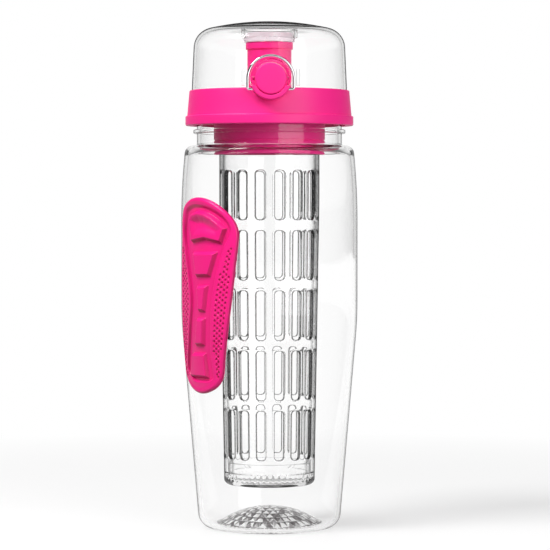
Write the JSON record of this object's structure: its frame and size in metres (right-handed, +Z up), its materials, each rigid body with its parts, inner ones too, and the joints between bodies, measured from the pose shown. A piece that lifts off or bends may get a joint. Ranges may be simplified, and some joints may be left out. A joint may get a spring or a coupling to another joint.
{
  "type": "fruit infuser water bottle",
  "caption": "Clear screw-top drinking bottle with a slotted infuser basket, flip cover over a spout, push-button latch, wire lock and soft side grip.",
  "frame": {"origin": "centre of the bottle at the table, on the base's contact ring", "axes": "+Z up along the bottle, -Y towards the button at the front, +X to the right seen from the front"},
  "size_m": [0.088, 0.0921, 0.2528],
  "materials": {
    "clear_body": "polished clear",
    "clear_cover": "polished clear",
    "pink_lid": "gloss",
    "soft_grip": "satin",
    "silicone": "satin translucent",
    "bright_wire": "polished",
    "spring_steel": "drawn"
  },
  "bodies": {
    "bottle": {"bottle_body": "clear_body", "bottle_base": "clear_body", "side_grip": "soft_grip"},
    "gasket": {"lid_gasket": "silicone"},
    "lid": {"lid_collar": "pink_lid", "drink_spout": "pink_lid", "plug_sleeve": "pink_lid", "hinge_pin": "bright_wire", "cover_spring": "spring_steel"},
    "cover": {"flip_cover": "clear_cover", "cover_seal": "silicone"},
    "button": {"release_button": "pink_lid", "button_spring": "spring_steel"},
    "bail": {"lock_bail": "bright_wire"},
    "infuser": {"infuser_basket": "clear_body"},
    "end_cap": {"infuser_end_cap": "clear_body"}
  },
  "joints": [
    {"name": "lid_lift", "type": "slide", "parent": "bottle", "child": "gasket", "axis": [0, 0, 1], "range_m": [0, 0.205]},
    {"name": "lid_turn", "type": "hinge", "parent": "gasket", "child": "lid", "pos_m": [0, 0, 0.215], "axis": [0, 0, 1], "range_deg": [0, 360]},
    {"name": "cover_hinge", "type": "hinge", "parent": "lid", "child": "cover", "pos_m": [0, 0.0435, 0.217], "axis": [-1, 0, 0], "range_deg": [0, 130]},
    {"name": "button_press", "type": "slide", "parent": "lid", "child": "button", "axis": [0, 1, 0], "range_m": [0, 0.0025], "stiffness_N_per_m": 300, "springref_m": -0.002, "deforming": ["button_spring"]},
    {"name": "bail_hinge", "type": "hinge", "parent": "lid", "child": "bail", "pos_m": [0, -0.04385, 0.2174], "axis": [1, 0, 0], "range_deg": [0, 150]},
    {"name": "infuser_unscrew", "type": "slide", "parent": "lid", "child": "infuser", "axis": [0, 0, -1], "range_m": [0, 0.006]},
    {"name": "cap_release", "type": "slide", "parent": "infuser", "child": "end_cap", "axis": [0, 0, -1], "range_m": [0, 0.004]}
  ]
}
